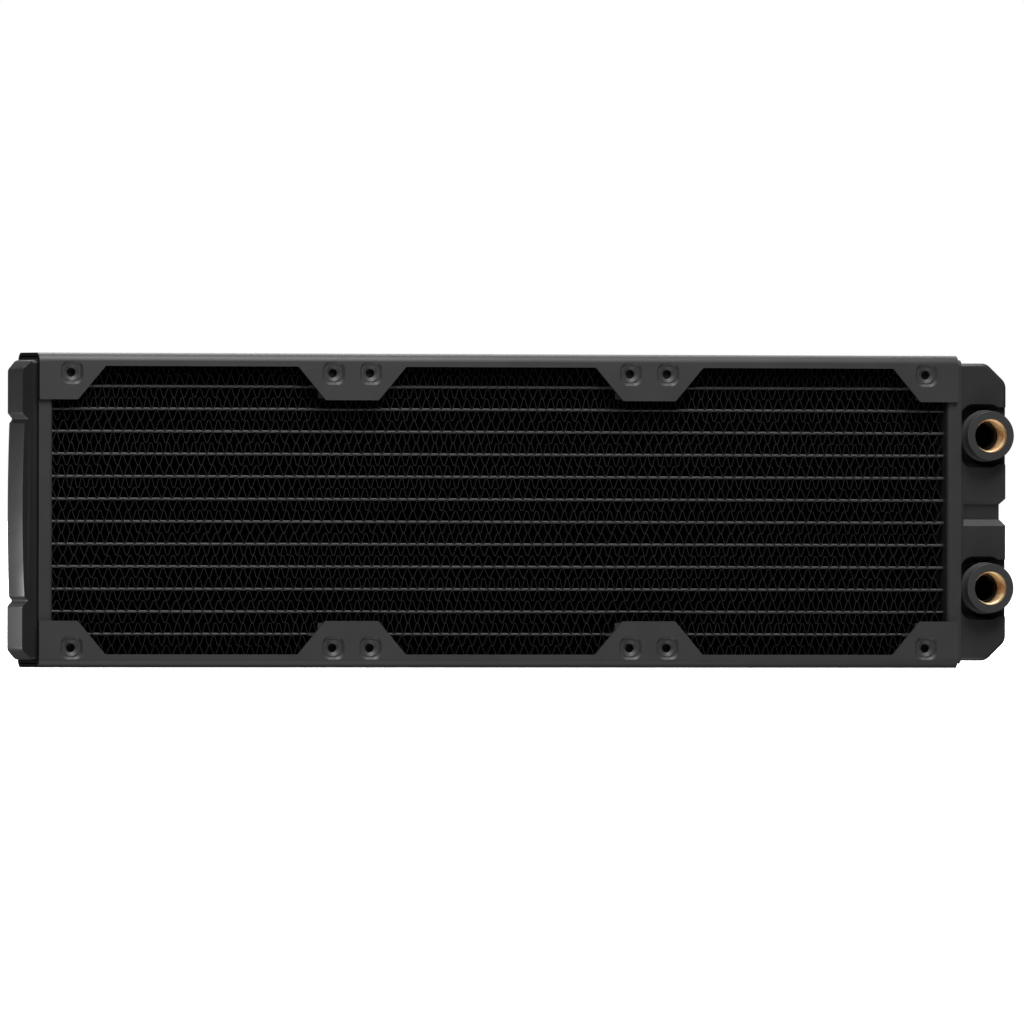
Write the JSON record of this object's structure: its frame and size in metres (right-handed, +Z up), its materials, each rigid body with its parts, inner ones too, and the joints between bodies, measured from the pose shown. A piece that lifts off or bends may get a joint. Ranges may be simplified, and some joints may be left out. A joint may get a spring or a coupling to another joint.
{
  "type": "liquid cooling radiator",
  "caption": "Slim liquid cooling radiator: a flat-tube and corrugated-fin core in a folded black steel frame with fan screw gussets, a return tank and a tank with threaded ports.",
  "frame": {"origin": "middle of the bottom side channel's outer face: half way between the outermost fan holes, at mid-thickness, on the face it stands on", "axes": "+X along the length towards the tank with the ports, -Y out of the front (fan face and port mouths), +Z up when it stands on its long edge"},
  "size_m": [0.3984, 0.0306, 0.12],
  "materials": {
    "frame_powder_coat": "fine matte black powder coat on folded steel",
    "tank_coat": "satin black paint on pressed brass",
    "tube_coat": "thin satin black paint on flat brass tube and bar",
    "fin_coat": "thin matte black paint on corrugated copper",
    "port_brass": "machined brass thread, outside coated matte black"
  },
  "bodies": {
    "root": {"core_side_plate_bottom": "tube_coat", "core_side_plate_top": "tube_coat", "fin_strip_01": "fin_coat", "fin_strip_02": "fin_coat", "fin_strip_03": "fin_coat", "fin_strip_04": "fin_coat", "fin_strip_05": "fin_coat", "fin_strip_06": "fin_coat", "fin_strip_07": "fin_coat", "fin_strip_08": "fin_coat", "fin_strip_09": "fin_coat", "fin_strip_10": "fin_coat", "fin_strip_11": "fin_coat", "fin_strip_12": "fin_coat", "fin_strip_13": "fin_coat", "fin_strip_14": "fin_coat", "fin_strip_15": "fin_coat", "fin_strip_16": "fin_coat", "fin_strip_17": "fin_coat", "fin_strip_18": "fin_coat", "fin_strip_19": "fin_coat", "fin_strip_20": "fin_coat", "fin_strip_21": "fin_coat", "fin_strip_22": "fin_coat", "fin_strip_23": "fin_coat", "fin_strip_24": "fin_coat", "fin_strip_25": "fin_coat", "fin_strip_26": "fin_coat", "flat_tube_01": "tube_coat", "flat_tube_02": "tube_coat", "flat_tube_03": "tube_coat", "flat_tube_04": "tube_coat", "flat_tube_05": "tube_coat", "flat_tube_06": "tube_coat", "flat_tube_07": "tube_coat", "flat_tube_08": "tube_coat", "flat_tube_09": "tube_coat", "flat_tube_10": "tube_coat", "flat_tube_11": "tube_coat", "flat_tube_12": "tube_coat", "header_plate_left": "tank_coat", "header_plate_right": "tank_coat", "inlet_port": "port_brass", "outlet_port": "port_brass", "port_tank": "tank_coat", "return_tank": "tank_coat", "screw_guards_front": "frame_powder_coat", "screw_guards_rear": "frame_powder_coat", "side_channel_bottom": "frame_powder_coat", "side_channel_top": "frame_powder_coat", "tank_baffle": "tank_coat"}
  },
  "joints": []
}
